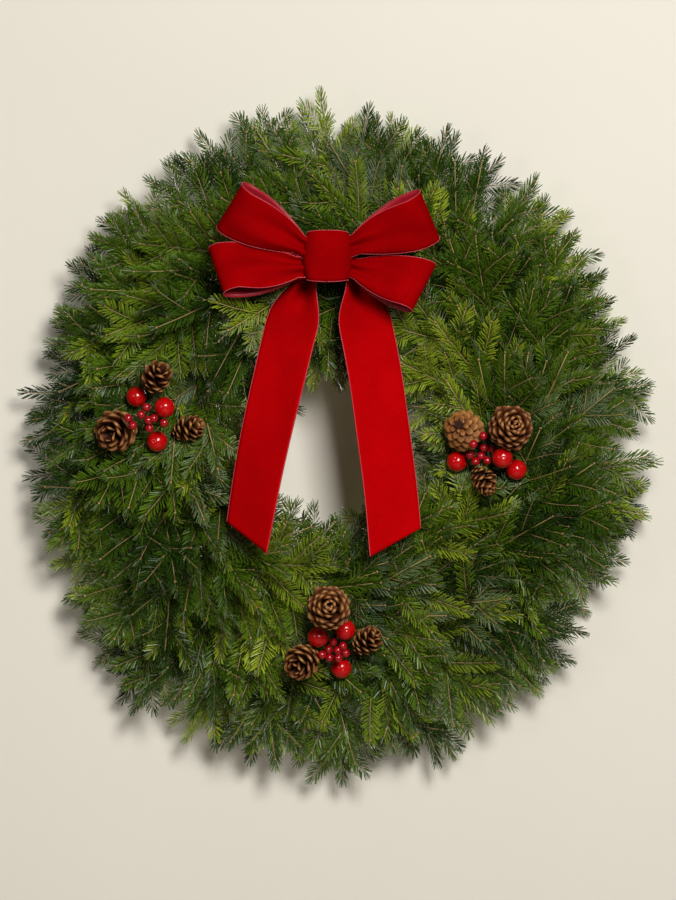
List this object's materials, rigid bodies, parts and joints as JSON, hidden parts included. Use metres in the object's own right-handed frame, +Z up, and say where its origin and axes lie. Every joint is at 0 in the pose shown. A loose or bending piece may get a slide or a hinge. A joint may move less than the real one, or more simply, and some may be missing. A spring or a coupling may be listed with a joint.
{
  "type": "fresh evergreen wreath",
  "caption": "Fresh fir wreath on a clamp ring, with a red velvet bow with two hanging tails and picks of cones and red berries; it hangs by a wire loop.",
  "frame": {"origin": "where a hook or nail bears on the hanging wire loop behind the top of the wreath", "axes": "+X to the right seen from the front, +Z up, and the front faces -Y, away from the door"},
  "size_m": [0.6974, 0.175, 0.746],
  "materials": {
    "coated_steel": "dark green coated steel rod and clamps, satin",
    "florist_wire": "green enamelled florist wire",
    "fir_foliage": "fresh fir needles on brown twigs, half matt",
    "red_velvet": "red velvet ribbon with a satin back and wired edges",
    "red_berry": "glossy red lacquered berry",
    "cone_scales": "dry brown cone scales, matt"
  },
  "bodies": {
    "root": {"ring_frame": "coated_steel", "hanging_loop": "florist_wire", "bough_bunch_01": "fir_foliage", "bough_bunch_02": "fir_foliage", "bough_bunch_03": "fir_foliage", "bough_bunch_04": "fir_foliage", "bough_bunch_05": "fir_foliage", "bough_bunch_06": "fir_foliage", "bough_bunch_07": "fir_foliage", "bough_bunch_08": "fir_foliage", "bough_bunch_09": "fir_foliage", "bough_bunch_10": "fir_foliage", "bough_bunch_11": "fir_foliage", "bough_bunch_12": "fir_foliage", "bough_bunch_13": "fir_foliage", "bough_bunch_14": "fir_foliage", "bough_bunch_15": "fir_foliage", "bough_bunch_16": "fir_foliage", "bough_bunch_17": "fir_foliage", "bough_bunch_18": "fir_foliage", "bow_center_band": "red_velvet", "bow_tail_left": "red_velvet", "bow_tail_right": "red_velvet", "bow_loop_upper_left": "red_velvet", "bow_loop_lower_left": "red_velvet", "bow_loop_upper_right": "red_velvet", "bow_loop_lower_right": "red_velvet", "bow_tie_wire": "florist_wire", "left_cone_top": "cone_scales", "left_cone_outer": "cone_scales", "left_cone_inner": "cone_scales", "right_cone_inner": "cone_scales", "right_cone_outer": "cone_scales", "right_cone_bottom": "cone_scales", "bottom_cone_top": "cone_scales", "bottom_cone_right": "cone_scales", "bottom_cone_left": "cone_scales", "left_berry_upper": "red_berry", "left_berry_inner": "red_berry", "left_berry_lower": "red_berry", "right_berry_inner": "red_berry", "right_berry_outer": "red_berry", "right_berry_back": "red_berry", "bottom_berry_left": "red_berry", "bottom_berry_right": "red_berry", "bottom_berry_lower": "red_berry", "left_berry_spray": "red_berry", "right_berry_spray": "red_berry", "bottom_berry_spray": "red_berry"}
  },
  "joints": []
}
